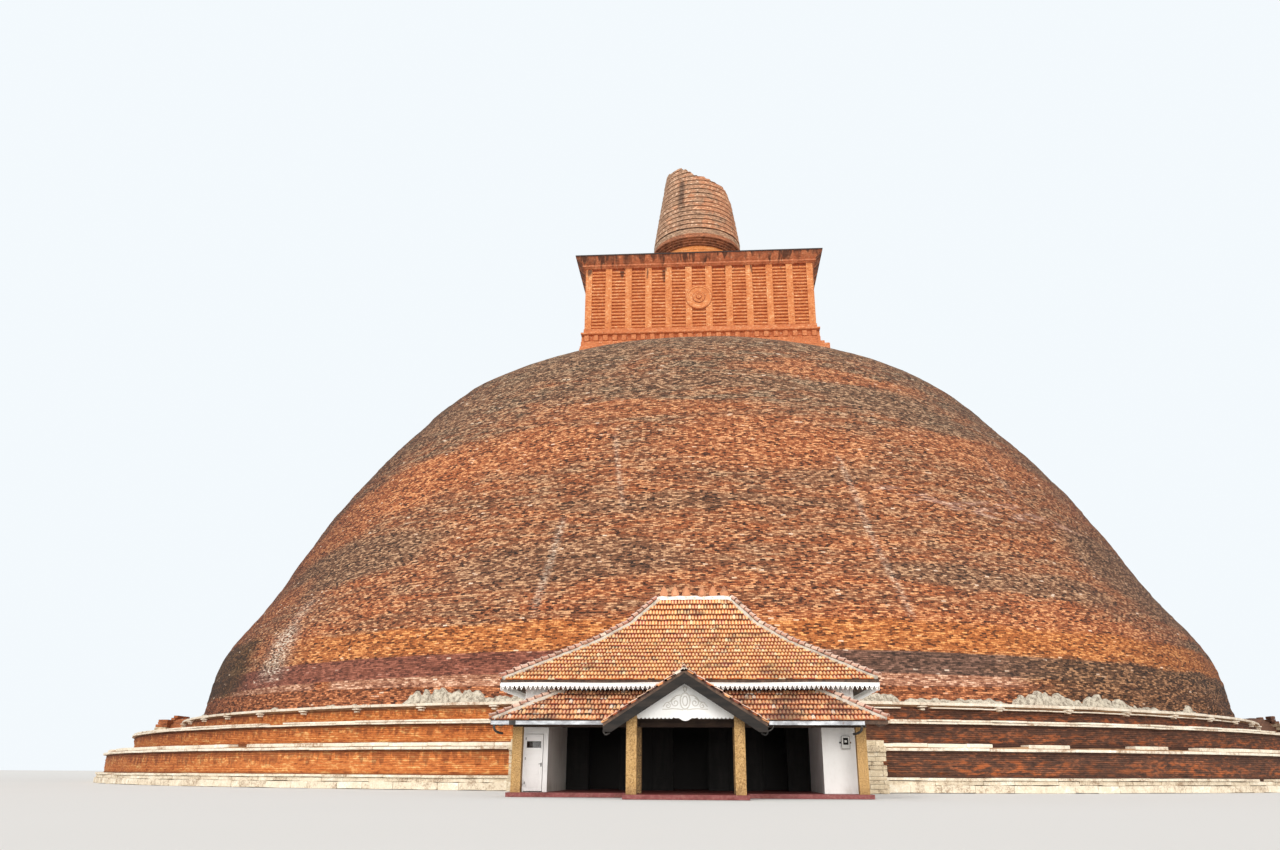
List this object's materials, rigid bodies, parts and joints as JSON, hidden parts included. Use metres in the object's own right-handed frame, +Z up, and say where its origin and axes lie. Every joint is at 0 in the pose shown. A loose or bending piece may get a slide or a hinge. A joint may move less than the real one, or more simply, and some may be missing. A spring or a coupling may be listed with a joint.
{
  "type": "great brick stupa with a front shrine, 1:10 scale model",
  "caption": "1:10 scale model of a great brick stupa: circular terraces, a dome, a square tower and a broken spire, with a tiled shrine whose store door opens",
  "frame": {"origin": "on the ground under the dome's axis, at the centre of the lowest terrace's underside", "axes": "+Z is up, the shrine and its doors face -Y, and +X is to the right of somebody who faces the shrine"},
  "size_m": [11, 12.34, 7.06],
  "materials": {
    "terrace_brick": "weathered, stained brickwork",
    "dome_brick": "rough, dark brickwork with lichen",
    "tower_brick": "orange brickwork with black streaks",
    "spire_brick": "tan and orange brickwork",
    "pale_stone": "weathered limestone",
    "white_plaster": "painted plaster",
    "ochre_masonry": "speckled ochre rendering",
    "red_paint": "red painted cement",
    "roof_tile": "mottled clay tile",
    "dark_timber": "weathered timber",
    "black_timber": "black painted panels",
    "white_timber": "white gloss paint",
    "white_sheet_metal": "white paint",
    "zinc_sheet": "dull zinc"
  },
  "bodies": {
    "building": {"footing_ring": "pale_stone", "terrace_1_wall": "terrace_brick", "terrace_1_coping": "pale_stone", "terrace_2_wall": "terrace_brick", "terrace_2_coping": "pale_stone", "terrace_3_wall": "terrace_brick", "terrace_3_coping": "pale_stone", "dome": "dome_brick", "tower_base": "tower_brick", "tower_body": "tower_brick", "railing_front": "tower_brick", "railing_right": "tower_brick", "railing_back": "tower_brick", "railing_left": "tower_brick", "tower_cornice": "tower_brick", "spire_drum": "tower_brick", "spire_corbels": "spire_brick", "spire": "spire_brick", "frontispiece_front": "pale_stone", "frontispiece_right": "pale_stone", "frontispiece_back": "pale_stone", "frontispiece_left": "pale_stone", "shrine_plinth": "red_paint", "shrine_back_wall": "white_plaster", "shrine_left_wall": "white_plaster", "shrine_right_wall": "white_plaster", "hall_wall": "white_plaster", "store_side_wall": "white_plaster", "meter_room_wall": "white_plaster", "front_upper_wall": "white_plaster", "hall_doors_left": "black_timber", "hall_doors_middle": "black_timber", "hall_doors_right": "black_timber", "store_door_frame": "white_timber", "meter_box": "white_sheet_metal", "column_outer_left": "ochre_masonry", "column_inner_left": "ochre_masonry", "column_inner_right": "ochre_masonry", "column_outer_right": "ochre_masonry", "column_porch_left": "ochre_masonry", "column_porch_right": "ochre_masonry", "verandah_beam": "dark_timber", "roof_front_slope": "roof_tile", "roof_back_slope": "roof_tile", "roof_left_slope": "roof_tile", "roof_right_slope": "roof_tile", "eaves_fascia": "white_timber", "ridge_and_finials": "roof_tile", "verandah_roof_left": "roof_tile", "verandah_roof_right": "roof_tile", "porch_roof": "roof_tile", "porch_bargeboards": "dark_timber", "gable_board": "white_timber", "gutter_left": "zinc_sheet", "gutter_right": "zinc_sheet"},
    "store_door": {"store_door": "white_timber"}
  },
  "joints": [
    {"name": "store_door_hinge", "type": "hinge", "parent": "building", "child": "store_door", "pos_m": [-0.6378, -6.42, 0.12], "axis": [0, 0, -1], "range_deg": [0, 100]}
  ]
}
